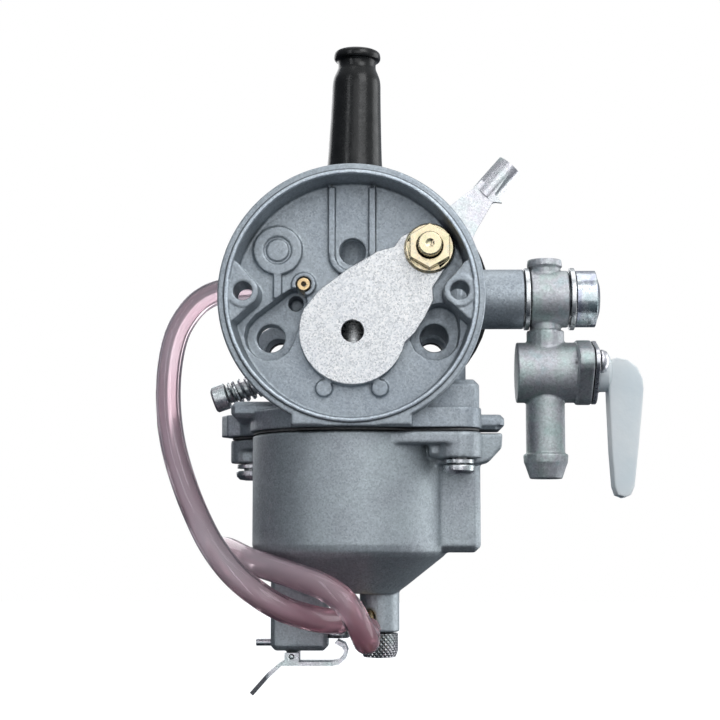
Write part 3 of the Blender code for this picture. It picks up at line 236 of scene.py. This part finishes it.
class Look:
    """A node-based material, with a short call for each kind of node that it uses."""

    def __init__(self, name, **values):
        self.material = bpy.data.materials.new(name)
        self.material.use_nodes = True
        self.nodes = self.material.node_tree.nodes
        self.links = self.material.node_tree.links
        self.shader = self.nodes["Principled BSDF"]
        self.set(**values)
        self.place = self.nodes.new("ShaderNodeTexCoord").outputs["Object"]

    def set(self, **values):
        for socket, value in values.items():
            self.shader.inputs[socket.replace("_", " ")].default_value = value

    def paint(self, socket, source):
        self.links.new(source, self.shader.inputs[socket])

    def stretched(self, scale):
        """The place on the object, stretched along each axis."""
        node = self.nodes.new("ShaderNodeMapping")
        node.inputs["Scale"].default_value = scale
        self.links.new(self.place, node.inputs["Vector"])
        return node.outputs[0]

    def noise(self, scale, detail=2.0, rough=0.5, place=None):
        node = self.nodes.new("ShaderNodeTexNoise")
        node.inputs["Scale"].default_value = scale
        node.inputs["Detail"].default_value = detail
        node.inputs["Roughness"].default_value = rough
        self.links.new(place or self.place, node.inputs["Vector"])
        return node.outputs["Fac"]

    def flakes(self, scale, place=None):
        """A random grey for each small cell, as crystals or metal flakes have."""
        node = self.nodes.new("ShaderNodeTexVoronoi")
        node.inputs["Scale"].default_value = scale
        self.links.new(place or self.place, node.inputs["Vector"])
        grey = self.nodes.new("ShaderNodeRGBToBW")
        self.links.new(node.outputs["Color"], grey.inputs[0])
        return grey.outputs[0]

    def ramp(self, source, *stops):
        node = self.nodes.new("ShaderNodeValToRGB")
        stops = [(at, value if hasattr(value, "__len__") else (value,) * 3) for at, value in stops]
        marks = node.color_ramp.elements
        while len(marks) < len(stops):
            marks.new(0.5)
        for mark, (at, value) in zip(marks, stops):
            mark.position = at
            mark.color = (*value, 1.0)
        self.links.new(source, node.inputs[0])
        return node.outputs[0]

    def mix(self, share, first, second, kind="MIX"):
        node = self.nodes.new("ShaderNodeMix")
        node.data_type = "RGBA"
        node.blend_type = kind
        for socket, value in ((0, share), (6, first), (7, second)):
            if isinstance(value, bpy.types.NodeSocket):
                self.links.new(value, node.inputs[socket])
            else:
                node.inputs[socket].default_value = value if socket == 0 else (*value, 1.0)
        return node.outputs[2]

    def maths(self, kind, first, second=0.0):
        node = self.nodes.new("ShaderNodeMath")
        node.operation = kind
        for slot, value in zip(node.inputs, (first, second)):
            if isinstance(value, bpy.types.NodeSocket):
                self.links.new(value, slot)
            else:
                slot.default_value = value
        return node.outputs[0]

    def along(self, axis, low, high):
        """0 to 1 as the place on the object goes from low to high, in metres, along an axis."""
        parts = self.nodes.new("ShaderNodeSeparateXYZ")
        self.links.new(self.place, parts.inputs[0])
        share = self.nodes.new("ShaderNodeMapRange")
        share.inputs["From Min"].default_value = low
        share.inputs["From Max"].default_value = high
        self.links.new(parts.outputs[axis], share.inputs["Value"])
        return share.outputs[0]

    def corners(self, distance):
        """Painted shade: dark in creases and corners, light in the open, where shade falls."""
        node = self.nodes.new("ShaderNodeAmbientOcclusion")
        node.samples = 4
        node.inputs["Distance"].default_value = distance
        return node.outputs["AO"]

    def bump(self, source, height, strength=1.0, under=None):
        node = self.nodes.new("ShaderNodeBump")
        node.inputs["Distance"].default_value = height
        node.inputs["Strength"].default_value = strength
        self.links.new(source, node.inputs["Height"])
        if under is not None:
            self.links.new(under, node.inputs["Normal"])
        return node.outputs[0]

    def relief(self, *layers):
        """Layers of bump, each a source and its height, one on another."""
        normal = None
        for source, height in layers:
            normal = self.bump(source, height, under=normal)
        self.paint("Normal", normal)


def cast_look(name, light, dark, rough=(0.42, 0.58), grain=2600.0, depth=0.00006):
    """Die-cast alloy: a fine grain, faint flow marks and painted shade in its corners."""
    look = Look(name, Metallic=0.82)
    cloud = look.noise(110.0, 4.0, 0.6)
    fine = look.flakes(grain)
    tone = look.ramp(cloud, (0.30, dark), (0.72, light))
    speck = look.ramp(fine, (0.05, 0.80), (0.5, 0.97), (0.95, 1.12))
    tone = look.mix(1.0, tone, speck, "MULTIPLY")
    # painted shade: the colour darkens in creases and corners by ambient occlusion
    shade = look.ramp(look.corners(0.0016), (0.25, 0.50), (0.85, 1.0))
    look.paint("Base Color", look.mix(1.0, tone, shade, "MULTIPLY"))
    look.paint("Roughness", look.ramp(look.noise(900.0, 3.0), (0.3, rough[0]), (0.7, rough[1])))
    look.relief((look.noise(grain * 0.8, 2.0), depth), (cloud, depth * 1.5))
    return look


def overlay(look, share, tone):
    """Lays a tone over the look's colour, as strongly as the share says at each place."""
    colour = look.shader.inputs["Base Color"].links[0].from_socket
    look.paint("Base Color", look.mix(share, colour, tone, "MULTIPLY"))


def body_look():
    """The body's casting, with the cup's lip machined bright inside a fine painted shadow line along its
    step.
    """
    look = cast_look("body_casting", (0.43, 0.47, 0.50), (0.36, 0.40, 0.44))
    centred = look.nodes.new("ShaderNodeMapping")
    centred.inputs["Location"].default_value = (0.0, 0.0, -CUP_HEIGHT)
    centred.inputs["Scale"].default_value = (1.0, 0.0, 1.0)
    look.links.new(look.place, centred.inputs["Vector"])
    reach = look.nodes.new("ShaderNodeVectorMath")
    reach.operation = "LENGTH"
    look.links.new(centred.outputs[0], reach.inputs[0])
    across = look.nodes.new("ShaderNodeMapRange")
    across.inputs["From Min"].default_value = LIP_RADII[0]
    across.inputs["From Max"].default_value = LIP_RADII[1]
    look.links.new(reach.outputs["Value"], across.inputs["Value"])
    # the machined lip is lighter; the fine dark band beside it is painted shadow of the step
    bands = look.ramp(
        across.outputs[0], (0.0, 1.0), (0.03, 1.5), (0.42, 1.5), (0.46, 0.45), (0.56, 0.45), (0.60, 1.0),
    )
    front = look.ramp(look.along("Y", *LIP_DEPTHS), (0.0, 1.0), (1.0, 0.0))
    overlay(look, front, bands)
    return look


def zinc_look(name, base=(0.66, 0.68, 0.69), tint=0.06, rough=(0.24, 0.38), grain=3200.0, depth=0.00003):
    """Zinc plating: bright, mottled, with a faint green and pink of the passivation."""
    look = Look(name, Metallic=1.0)
    drift = look.noise(240.0, 3.0, 0.55)
    r, g, b = base
    green = (r - tint * 0.7, g + tint * 0.15, b - tint * 0.1)
    pink = (r + tint * 0.35, g - tint * 0.35, b + tint * 0.12)
    blue = (r - tint * 0.55, g - tint * 0.1, b + tint * 0.2)
    tone = look.ramp(drift, (0.30, green), (0.45, base), (0.56, pink), (0.70, blue))
    speck = look.ramp(look.flakes(grain), (0.1, 0.82), (0.6, 1.0), (0.95, 1.10))
    tone = look.mix(1.0, tone, speck, "MULTIPLY")
    # painted shade: the colour darkens in creases and corners by ambient occlusion
    shade = look.ramp(look.corners(0.0010), (0.2, 0.45), (0.8, 1.0))
    look.paint("Base Color", look.mix(1.0, tone, shade, "MULTIPLY"))
    look.paint("Roughness", look.ramp(look.noise(1400.0, 2.0), (0.3, rough[0]), (0.7, rough[1])))
    look.relief((look.noise(grain, 2.0), depth), (look.noise(420.0, 2.0), depth * 2.0))
    return look


def dipped_look():
    """The drain lever: zinc plate, with painted shade darkening its finger's end."""
    look = zinc_look("lever_plate")
    # painted shade: the finger's end is darker in colour
    overlay(look, look.ramp(look.along("X", *FINGER_DARKENS), (0.0, 1.0), (1.0, 0.0)), (0.16, 0.16, 0.17))
    return look


def knurled_look():
    """The drain plug: zinc plate with a crossed knurl pressed round it, and painted shade in the knurl's
    grooves.
    """
    look = zinc_look("knurled_plate")
    turned = look.nodes.new("ShaderNodeMapping")
    turned.inputs["Location"].default_value = (-PLUG_AT[0], -PLUG_AT[1], 0.0)
    look.links.new(look.place, turned.inputs["Vector"])
    parts = look.nodes.new("ShaderNodeSeparateXYZ")
    look.links.new(turned.outputs[0], parts.inputs[0])
    angle = look.maths("ARCTAN2", parts.outputs[1], parts.outputs[0])
    around = look.maths("MULTIPLY", angle, KNURL_TEETH)
    upward = look.maths("MULTIPLY", parts.outputs[2], KNURL_WAVE)
    one_way = look.maths("SINE", look.maths("ADD", around, upward))
    other_way = look.maths("SINE", look.maths("SUBTRACT", around, upward))
    diamonds = look.maths("MINIMUM", one_way, other_way)
    height = look.maths("MULTIPLY", look.maths("ADD", diamonds, 1.0), 0.5)
    # painted shade: the knurl's grooves are darker in colour
    overlay(look, 1.0, look.ramp(height, (0.05, 0.35), (0.55, 1.0)))
    look.relief((diamonds, 0.0002))
    return look


def satin_look(name):
    """The choke's plate: pickled and plated sheet that sparkles all over."""
    look = Look(name, Metallic=0.95)
    fine = look.flakes(3400.0)
    tone = look.ramp(fine, (0.02, (0.36, 0.37, 0.39)), (0.5, (0.76, 0.77, 0.78)), (0.97, (0.99, 0.97, 0.95)))
    cloud = look.ramp(look.noise(130.0, 3.0), (0.35, (0.80, 0.81, 0.84)), (0.65, (0.94, 0.93, 0.91)))
    look.paint("Base Color", look.mix(0.22, tone, cloud))
    look.paint("Roughness", look.ramp(look.flakes(3700.0), (0.1, 0.36), (0.9, 0.54)))
    look.relief((fine, 0.00004))
    return look


def turned_look(name, light, dark, rough=(0.22, 0.36), rings=(1200.0, 1200.0, 5200.0)):
    """Turned metal: fine tool rings and a little tarnish."""
    look = Look(name, Metallic=1.0)
    stain = look.noise(500.0, 3.0, 0.6)
    look.paint("Base Color", look.ramp(stain, (0.28, dark), (0.62, light)))
    look.paint("Roughness", look.ramp(look.noise(1500.0), (0.3, rough[0]), (0.7, rough[1])))
    look.relief((look.noise(1.0, 2.0, place=look.stretched(rings)), 0.00002))
    return look


def yellow_zinc_look():
    """Yellow chromate: gold that drifts to green, rose and straw."""
    look = Look("yellow_chromate", Metallic=1.0)
    drift = look.noise(520.0, 3.0, 0.6)
    tone = look.ramp(
        drift, (0.30, (0.60, 0.58, 0.38)), (0.44, (0.74, 0.66, 0.44)), (0.56, (0.80, 0.66, 0.46)),
        (0.70, (0.62, 0.60, 0.46)),
    )
    # painted shade: the colour darkens in creases and corners by ambient occlusion
    shade = look.ramp(look.corners(0.0012), (0.2, 0.30), (0.8, 1.0))
    look.paint("Base Color", look.mix(1.0, tone, shade, "MULTIPLY"))
    look.paint("Roughness", look.ramp(look.noise(1600.0), (0.3, 0.18), (0.7, 0.32)))
    look.relief((look.noise(2600.0), 0.00003))
    return look


def bolt_look():
    """The banjo bolt's blue passivation: steel that turns to blue-green and violet."""
    look = Look("blue_passivated_steel", Metallic=1.0)
    drift = look.noise(190.0, 2.0, 0.5)
    tone = look.ramp(
        drift, (0.30, (0.44, 0.56, 0.58)), (0.46, (0.62, 0.66, 0.68)), (0.58, (0.44, 0.46, 0.56)),
        (0.72, (0.60, 0.65, 0.66)),
    )
    speck = look.ramp(look.flakes(2800.0), (0.1, 0.85), (0.9, 1.08))
    look.paint("Base Color", look.mix(1.0, tone, speck, "MULTIPLY"))
    look.paint("Roughness", look.ramp(look.noise(1300.0), (0.3, 0.16), (0.7, 0.30)))
    look.relief((look.noise(500.0), 0.00006), (look.noise(2600.0), 0.00002))
    return look


def rubber_look(name, tone=0.006, rough=(0.20, 0.32)):
    """Moulded rubber: near black, a satin skin with a little dust and fine pores."""
    look = Look(name, Specular_IOR_Level=0.38)
    dust = look.ramp(look.noise(320.0, 4.0, 0.65), (0.45, tone * 0.8), (0.85, tone * 2.0))
    look.paint("Base Color", dust)
    look.paint("Roughness", look.ramp(look.noise(700.0, 3.0), (0.3, rough[0]), (0.7, rough[1])))
    look.relief((look.noise(2600.0, 2.0), 0.00002), (look.noise(260.0), 0.00005))
    return look


def moulded_look(name, light, dark, rough=(0.5, 0.7), grain=1800.0, depth=0.00005):
    """Pressed or moulded board and plastic: a dull mottled surface with a fine grain."""
    look = Look(name, Specular_IOR_Level=0.35)
    fibre = look.noise(grain, 3.0, 0.7)
    look.paint("Base Color", look.ramp(fibre, (0.30, dark), (0.72, light)))
    look.paint("Roughness", look.ramp(look.noise(grain * 0.4), (0.3, rough[0]), (0.7, rough[1])))
    look.relief((fibre, depth))
    return look


def nylon_look():
    """Natural nylon: milky, lets light in, with a faint blue cast and a soft gloss."""
    look = Look(
        "natural_nylon", Subsurface_Weight=0.55, Subsurface_Radius=(1.0, 1.0, 1.0), Subsurface_Scale=0.0022,
        Transmission_Weight=0.12, IOR=1.53,
    )
    cloud = look.noise(90.0, 3.0)
    look.paint("Base Color", look.ramp(cloud, (0.3, (0.74, 0.81, 0.84)), (0.7, (0.86, 0.90, 0.91))))
    look.paint("Roughness", look.ramp(look.noise(600.0, 3.0), (0.3, 0.34), (0.7, 0.48)))
    look.relief((look.noise(220.0), 0.00010), (look.noise(2200.0), 0.00002))
    return look


def hose_look():
    """Clear pink vinyl: the wall bends light, and its tint is redder low down."""
    look = Look("clear_pink_vinyl", Transmission_Weight=0.92, IOR=1.40, Specular_IOR_Level=0.8)
    cloud = look.noise(45.0, 2.0, 0.5)
    edge = look.nodes.new("ShaderNodeLayerWeight")
    edge.inputs["Blend"].default_value = 0.30
    pale = look.ramp(cloud, (0.3, (0.93, 0.81, 0.86)), (0.7, (0.97, 0.89, 0.92)))
    deep = look.ramp(cloud, (0.3, (0.60, 0.32, 0.40)), (0.7, (0.68, 0.40, 0.48)))
    clear = look.mix(edge.outputs["Facing"], pale, deep)
    low_down = look.ramp(look.along("Z", *STAIN_HEIGHTS), (0.0, 0.55), (1.0, 0.0))
    look.paint("Base Color", look.mix(low_down, clear, (0.80, 0.30, 0.36)))
    look.paint("Roughness", look.ramp(look.noise(200.0, 2.0), (0.3, 0.05), (0.7, 0.12)))
    look.relief((look.noise(70.0), 0.00003), (look.noise(1500.0), 0.000005))
    return look


def bore_look():
    """The hose's inside, which shows through the wall as a paler band with a rosy drift."""
    look = Look("hose_bore", Transmission_Weight=0.70, IOR=1.10, Specular_IOR_Level=0.3)
    cloud = look.noise(40.0, 2.0, 0.4)
    look.paint("Base Color", look.ramp(cloud, (0.30, (0.92, 0.76, 0.81)), (0.65, (0.98, 0.94, 0.96))))
    look.paint("Roughness", look.ramp(look.noise(300.0), (0.3, 0.18), (0.7, 0.26)))
    look.relief((look.noise(120.0), 0.00002))
    return look


def make_looks():
    """The finish of each material slot of the record, and of the few pieces that have their own."""
    return {
        "cast_alloy": cast_look("cast_alloy_grain", (0.43, 0.47, 0.50), (0.36, 0.40, 0.44)),
        "zinc_steel": zinc_look("zinc_plate"),
        "spring_steel": zinc_look("spring_wire", (0.62, 0.63, 0.64), 0.05, (0.18, 0.30)),
        "bolt_steel": bolt_look(),
        "stainless": turned_look("ground_stainless", (0.66, 0.66, 0.66), (0.52, 0.52, 0.53)),
        "brass": turned_look("turned_brass", (0.80, 0.60, 0.34), (0.55, 0.38, 0.20)),
        "yellow_zinc": yellow_zinc_look(),
        "machined_alloy": turned_look("machined_alloy", (0.72, 0.73, 0.73), (0.58, 0.60, 0.61)),
        "black_rubber": rubber_look("boot_rubber"),
        "black_phenolic": moulded_look("phenolic_board", (0.020, 0.020, 0.021), (0.007, 0.007, 0.008)),
        "gasket_fibre": moulded_look("gasket_fibre", (0.13, 0.13, 0.13), (0.06, 0.06, 0.06)),
        "white_nylon": nylon_look(),
        "clear_pink_hose": hose_look(),
        "float_plastic": moulded_look("float_foam", (0.06, 0.06, 0.065), (0.02, 0.02, 0.022), grain=900.0),
        "seal_rubber": rubber_look("seal_rubber", 0.02, (0.4, 0.55)),
        "bowl": cast_look(
            "bowl_casting", (0.45, 0.50, 0.52), (0.39, 0.42, 0.45), (0.47, 0.58), 3000.0, 0.00003,
        ),
        "tap": zinc_look("tap_casting", (0.52, 0.56, 0.56), 0.06, (0.50, 0.62), 2600.0, 0.00004),
        "satin": satin_look("choke_sheet"),
        "body": body_look(),
        "knurled": knurled_look(),
        "shaded_finger": dipped_look(),
        "bore": bore_look(),
    }


# ---------------------------------------------------------------- pieces


def new_object(name, data):
    thing = bpy.data.objects.new(name, data)
    bpy.context.scene.collection.objects.link(thing)
    return thing


def finish_piece(piece, look, slot, body, *nodes):
    """Gives a piece its material, hides the CAD nodes that it stands for, and rides it."""
    piece.data.materials.clear()
    piece.data.materials.append(look.material)
    if nodes:
        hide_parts(*nodes)
    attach(piece, body)
    return piece


def copy_of(node, name):
    """A separate copy of a CAD node's mesh, welded, with its flat faces whole again."""
    mesh = frame["nodes"][node].data.copy()
    mesh.name = name
    mesh.materials.clear()
    shape = bmesh.new()
    shape.from_mesh(mesh)
    bmesh.ops.remove_doubles(shape, verts=shape.verts, dist=1e-6)
    bmesh.ops.dissolve_limit(shape, angle_limit=math.radians(0.4), verts=shape.verts, edges=shape.edges)
    shape.to_mesh(mesh)
    shape.free()
    return new_object(name, mesh)


def applied(piece):
    """The piece with its modifiers made part of its mesh."""
    bpy.context.view_layer.update()
    graph = bpy.context.evaluated_depsgraph_get()
    piece.data = bpy.data.meshes.new_from_object(piece.evaluated_get(graph))
    piece.modifiers.clear()
    return piece


def make_round(piece, at, axis, outline, sides):
    """Moves points that lie on a turned face's flats out, or in, to its true round.

    The outline is the face's (height, radius) pairs along the axis, in millimetres, lowest first.
    """
    turn_to = Vector(axis).to_track_quat("Z", "Y").to_matrix()
    back = turn_to.transposed()
    flat = math.cos(math.pi / sides)
    for vertex in piece.data.vertices:
        x, y, height = (back @ (vertex.co - Vector(at) * MM)) / MM
        if not outline[0][0] <= height <= outline[-1][0]:
            continue
        reach = math.hypot(x, y)
        for (low, low_r), (high, high_r) in zip(outline, outline[1:]):
            if low <= height <= high:
                wanted = low_r + (high_r - low_r) * (height - low) / (high - low)
                break
        if wanted * flat - ROUND_SLACK <= reach <= wanted + ROUND_SLACK:
            grown = Vector((x * wanted / reach, y * wanted / reach, height)) * MM
            vertex.co = Vector(at) * MM + turn_to @ grown


def soften(node, voxel, passes, looks, look, slot):
    """A casting's copy with every edge rounded over, as metal leaves a die."""
    piece = copy_of(node, f"{node}_casting")
    skin = piece.modifiers.new("skin", "REMESH")
    skin.mode = "VOXEL"
    skin.voxel_size = voxel
    round_over = piece.modifiers.new("round_over", "SMOOTH")
    round_over.factor = 0.5
    round_over.iterations = passes
    applied(piece)
    for at, axis, outline, sides in TURNED_FACES.get(node, ()):
        make_round(piece, at, axis, outline, sides)
    piece.data.shade_smooth()
    return finish_piece(piece, looks[look], slot, BODY_OF[node], node)


def polish(node, looks, look, slot, edge, sharp=38.0):
    """A CAD node's copy with its sharp edges broken and its round faces smooth."""
    piece = copy_of(node, f"{node}_finished")
    piece.data.shade_smooth()
    if edge:
        bevel = piece.modifiers.new("broken_edge", "BEVEL")
        bevel.width = edge * MM
        bevel.segments = 2
        bevel.limit_method = "ANGLE"
        bevel.angle_limit = math.radians(sharp)
        bevel.use_clamp_overlap = True
        even = piece.modifiers.new("flat_faces_stay_flat", "WEIGHTED_NORMAL")
        even.mode = "FACE_AREA"
        even.weight = 100
        applied(piece)
    else:
        piece.data.set_sharp_from_angle(angle=math.radians(sharp))
    return finish_piece(piece, looks[look], slot, BODY_OF[node], node)


def smooth_route(points, spans):
    """Points at even steps along a smooth curve through the route's own points."""
    path = [Vector(p) for p in points]
    ends = [path[0] * 2 - path[1]] + path + [path[-1] * 2 - path[-2]]
    fine = []
    for i in range(1, len(ends) - 2):
        p0, p1, p2, p3 = ends[i - 1:i + 3]
        for step in range(24):
            t = step / 24
            fine.append(
                0.5 * (2 * p1 + (p2 - p0) * t + (2 * p0 - 5 * p1 + 4 * p2 - p3) * t * t
                       + (3 * p1 - p0 - 3 * p2 + p3) * t ** 3)
            )
    fine.append(path[-1])
    reach = [0.0]
    for a, b in zip(fine, fine[1:]):
        reach.append(reach[-1] + (b - a).length)
    made, at = [], 0
    for k in range(spans + 1):
        want = reach[-1] * k / spans
        while at < len(reach) - 2 and reach[at + 1] < want:
            at += 1
        share = (want - reach[at]) / (reach[at + 1] - reach[at])
        made.append(fine[at].lerp(fine[at + 1], min(1.0, share)))
    return made, reach[-1]


def tube(name, points, radius):
    """A curve of one open spline through the points, with round closed ends."""
    curve = bpy.data.curves.new(name, "CURVE")
    curve.dimensions = "3D"
    curve.bevel_depth = radius
    curve.bevel_resolution = 8
    curve.use_fill_caps = True
    spline = curve.splines.new("POLY")
    spline.points.add(len(points) - 1)
    for point, at in zip(spline.points, points):
        point.co = (*at, 1.0)
    spline.use_smooth = True
    return new_object(name, curve)


def make_hoses(looks):
    for name, route in HOSE_ROUTES.items():
        points, length = smooth_route([Vector(p) * MM for p in route], HOSE_SPANS)
        hose = tube(f"{name}_clear", points, HOSE_DIAMETER / 2)
        finish_piece(hose, looks["clear_pink_hose"], "clear_pink_hose", "carburetor", name)
        bore = tube(f"{name}_bore", points[2:-2], HOSE_DIAMETER * 0.27)
        finish_piece(bore, looks["bore"], "clear_pink_hose", "carburetor")


def lathe(name, profile, at, axis, steps=96):
    """A closed turned piece: the profile's radius and height, in millimetres, swept about an axis."""
    mesh = bpy.data.meshes.new(name)
    shape = bmesh.new()
    turn_to = Vector(axis).to_track_quat("Z", "Y").to_matrix()
    rings = []
    for radius, height in profile:
        ring = []
        for step in range(steps):
            angle = math.tau * step / steps
            spot = Vector((radius * math.cos(angle), radius * math.sin(angle), height)) * MM
            ring.append(shape.verts.new(Vector(at) + turn_to @ spot))
        rings.append(ring)
    for low, high in zip(rings, rings[1:] + rings[:1]):
        for step in range(steps):
            after = (step + 1) % steps
            shape.faces.new((low[step], low[after], high[after], high[step]))
    bmesh.ops.recalc_face_normals(shape, faces=shape.faces)
    shape.to_mesh(mesh)
    shape.free()
    mesh.shade_smooth()
    return new_object(name, mesh)


def rounded(outline, passes=2):
    """An open outline with its corners cut to soft curves, and its ends kept."""
    for _ in range(passes):
        made = [outline[0]]
        for (ax, ay), (bx, by) in zip(outline, outline[1:]):
            made.append((0.75 * ax + 0.25 * bx, 0.75 * ay + 0.25 * by))
            made.append((0.25 * ax + 0.75 * bx, 0.25 * ay + 0.75 * by))
        outline = made + [outline[-1]]
    return outline


def make_boot(looks):
    """The cable's rubber boot: a tapered sleeve, a soft shoulder, a neck and a thin everted lip."""
    low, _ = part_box("cable_boot")
    outside = rounded([
        (6.15, 0.0), (6.1, 0.8), (5.95, 2.0), (5.6, 10.0), (5.35, 17.0), (5.3, 20.2), (4.6, 22.0),
        (4.18, 22.9),
        (4.12, 24.0), (4.35, 24.7), (5.05, 24.9), (5.2, 25.7), (4.95, 26.75), (3.7, 27.05), (2.4, 26.9),
    ])
    inside = rounded([(1.9, 26.4), (1.75, 23.0), (3.2, 21.0), (3.4, 8.0), (4.9, 5.6), (4.95, 0.0)])
    at = (0.0001, SLIDE_Y, low.z + 0.1 * MM)
    boot = lathe("boot_skin", outside + inside, at, BOOT_LEAN)
    finish_piece(boot, looks["black_rubber"], "black_rubber", "carburetor", "cable_boot")


# Castings: the node, its voxel size in metres, its smoothing passes, its look and its slot
CASTINGS = (
    ("carb_body", 0.00021, 5, "body", "cast_alloy"),
    ("float_bowl", 0.00032, 5, "bowl", "cast_alloy"),
    ("fuel_tap_body", 0.00024, 4, "tap", "cast_alloy"),
    ("mixing_chamber_cap", 0.00030, 4, "cast_alloy", "cast_alloy"),
)

POLISHED = {
    "zinc_steel": (
        "choke_lever", "bowl_screw_front", "bowl_screw_rear", "spring_washer_front", "spring_washer_rear",
        "cable_adjuster", "adjuster_nut", "throttle_stop_screw", "choke_washer", "tap_cover_plate",
        "tap_screw_front", "tap_screw_rear", "tap_wave_washer",
        "drain_lever_pin", "lever_stop_pin", "drain_plunger",
    ),
    "satin": ("choke_plate",),
    "knurled": ("drain_plug",),
    "shaded_finger": ("drain_lever",),
    "spring_steel": ("stop_screw_spring", "slide_spring", "plunger_spring", "needle_clip"),
    "bolt_steel": ("banjo_bolt",),
    "stainless": ("float_pin", "float_needle", "jet_needle"),
    "brass": (
        "needle_seat", "needle_jet", "main_jet", "pilot_jet", "air_jet", "vent_nipple", "overflow_nipple",
        "outlet_nipple", "return_nipple",
    ),
    "yellow_zinc": ("choke_nut", "choke_shaft"),
    "machined_alloy": ("banjo_washer_inner", "banjo_washer_outer", "throttle_slide"),
    "black_phenolic": ("heat_insulator",),
    "gasket_fibre": ("bowl_gasket",),
    "white_nylon": ("fuel_tap_lever",),
    "float_plastic": ("float",),
    "seal_rubber": ("tap_seal", "plunger_seal"),
}
# Springs that shorten with a joint, here only given a mesh of their own: the joint, the share of the length
# that is left, and the end that stays
SQUASHED = {
    "slide_spring": ("throttle_lift", 0.54, "top"),
    "plunger_spring": ("drain_valve_lift", 0.77, "top"),
}
BROKEN_EDGE = 0.12  # millimetres
BROKEN_EDGES = {"choke_plate": 0.32, "choke_lever": 0.2}
THIN = ("stop_screw_spring", "slide_spring", "plunger_spring", "tap_wave_washer", "bowl_gasket")
SLOT_OF_LOOK = {"satin": "zinc_steel", "knurled": "zinc_steel", "shaded_finger": "zinc_steel"}


def make_pieces(looks):
    for node, voxel, passes, look, slot in CASTINGS:
        soften(node, voxel, passes, looks, look, slot)
    for look, nodes in POLISHED.items():
        for node in nodes:
            edge = 0.0 if node in THIN else BROKEN_EDGES.get(node, BROKEN_EDGE)
            piece = polish(node, looks, look, SLOT_OF_LOOK.get(look, look), edge)
            if node in SQUASHED:
                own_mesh(piece)


def main():
    looks = make_looks()
    make_studio()
    make_hoses(looks)
    make_pieces(looks)
    make_boot(looks)
    make_floor()


main()
